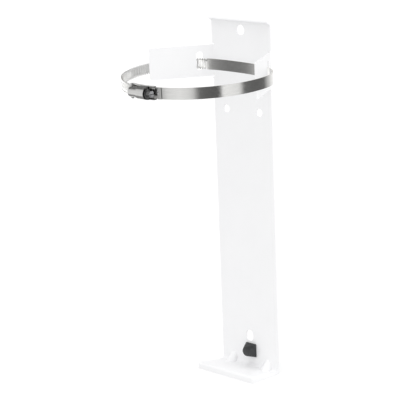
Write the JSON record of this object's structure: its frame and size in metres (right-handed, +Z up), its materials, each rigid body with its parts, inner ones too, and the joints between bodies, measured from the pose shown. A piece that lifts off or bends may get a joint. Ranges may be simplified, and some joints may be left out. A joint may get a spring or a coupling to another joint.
{
  "type": "gas cylinder bracket",
  "caption": "Wall plate with a V cradle, a foot shelf and a worm-drive strap that holds a gas cylinder upright.",
  "frame": {"origin": "centre of the plate's back face, halfway between the foot's lower edge and the height 460 mm above it", "axes": "+Z up, +X to the right as seen from the cylinder's side, +Y into the wall"},
  "size_m": [0.195, 0.1852, 0.461],
  "materials": {
    "white_coat": "satin",
    "stainless": "bright",
    "zinc_plate": "bright",
    "rubber": "matte"
  },
  "bodies": {
    "bracket": {"bracket": "white_coat", "strap_band": "stainless", "saddle": "stainless", "pivot_pin": "zinc_plate", "rubber_bumper": "rubber"},
    "housing": {"swivel_housing": "zinc_plate"},
    "screw": {"worm_screw": "zinc_plate"}
  },
  "joints": [
    {"name": "housing_swivel", "type": "hinge", "parent": "bracket", "child": "housing", "pos_m": [-0.0163, -0.17487, 0.16225], "axis": [-0.0166, 0.0506, -0.9986], "range_deg": [0, 100]},
    {"name": "screw_turn", "type": "hinge", "parent": "housing", "child": "screw", "pos_m": [0, -0.17852, 0.16179], "axis": [0.9999, 0.0008, -0.0166], "continuous": true}
  ]
}
